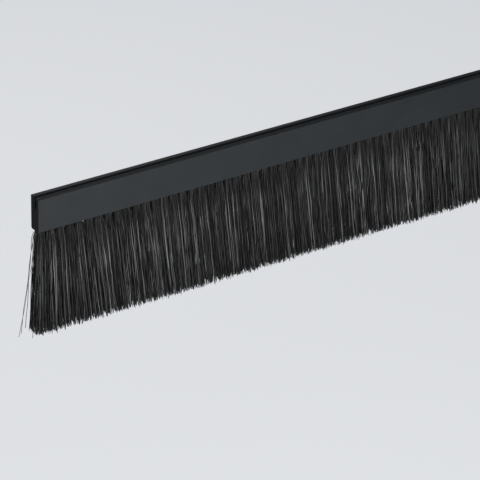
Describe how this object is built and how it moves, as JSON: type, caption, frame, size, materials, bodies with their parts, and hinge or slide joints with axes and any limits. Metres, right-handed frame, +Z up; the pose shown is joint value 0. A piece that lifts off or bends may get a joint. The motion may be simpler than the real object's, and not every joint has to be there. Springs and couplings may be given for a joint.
{
  "type": "brush strip",
  "caption": "Clip-on brush strip: an extruded plastic carrier grips the edge of a metal sheet, and its row of bristle tufts closes a cable opening in a server rack.",
  "frame": {"origin": "middle of the edge slot's floor, half way along the strip, where the edge of the metal sheet seats", "axes": "+X along the strip, +Y from the visible front face to the back wall, +Z up out of the slot's mouth, so that the bristles hang down towards -Z"},
  "size_m": [0.3612, 0.0119, 0.082],
  "materials": {
    "carrier_plastic": "satin black extruded plastic",
    "bristle_nylon": "black nylon filament with a soft sheen",
    "anchor_wire": "plain flat wire, hidden in the holes"
  },
  "bodies": {
    "root": {"carrier": "carrier_plastic", "tuft_anchors": "anchor_wire", "tuft_01": "bristle_nylon", "tuft_02": "bristle_nylon", "tuft_03": "bristle_nylon", "tuft_04": "bristle_nylon", "tuft_05": "bristle_nylon", "tuft_06": "bristle_nylon", "tuft_07": "bristle_nylon", "tuft_08": "bristle_nylon", "tuft_09": "bristle_nylon", "tuft_10": "bristle_nylon", "tuft_11": "bristle_nylon", "tuft_12": "bristle_nylon", "tuft_13": "bristle_nylon", "tuft_14": "bristle_nylon", "tuft_15": "bristle_nylon", "tuft_16": "bristle_nylon", "tuft_17": "bristle_nylon", "tuft_18": "bristle_nylon", "tuft_19": "bristle_nylon", "tuft_20": "bristle_nylon", "tuft_21": "bristle_nylon", "tuft_22": "bristle_nylon", "tuft_23": "bristle_nylon", "tuft_24": "bristle_nylon", "tuft_25": "bristle_nylon", "tuft_26": "bristle_nylon", "tuft_27": "bristle_nylon", "tuft_28": "bristle_nylon", "tuft_29": "bristle_nylon", "tuft_30": "bristle_nylon", "tuft_31": "bristle_nylon", "tuft_32": "bristle_nylon", "tuft_33": "bristle_nylon", "tuft_34": "bristle_nylon", "tuft_35": "bristle_nylon", "tuft_36": "bristle_nylon", "tuft_37": "bristle_nylon", "tuft_38": "bristle_nylon", "tuft_39": "bristle_nylon", "tuft_40": "bristle_nylon", "tuft_41": "bristle_nylon", "tuft_42": "bristle_nylon", "tuft_43": "bristle_nylon", "tuft_44": "bristle_nylon", "tuft_45": "bristle_nylon", "tuft_46": "bristle_nylon", "tuft_47": "bristle_nylon", "tuft_48": "bristle_nylon", "tuft_49": "bristle_nylon", "tuft_50": "bristle_nylon", "tuft_51": "bristle_nylon", "tuft_52": "bristle_nylon", "tuft_53": "bristle_nylon", "tuft_54": "bristle_nylon", "tuft_55": "bristle_nylon", "tuft_56": "bristle_nylon", "tuft_57": "bristle_nylon", "tuft_58": "bristle_nylon"}
  },
  "joints": []
}
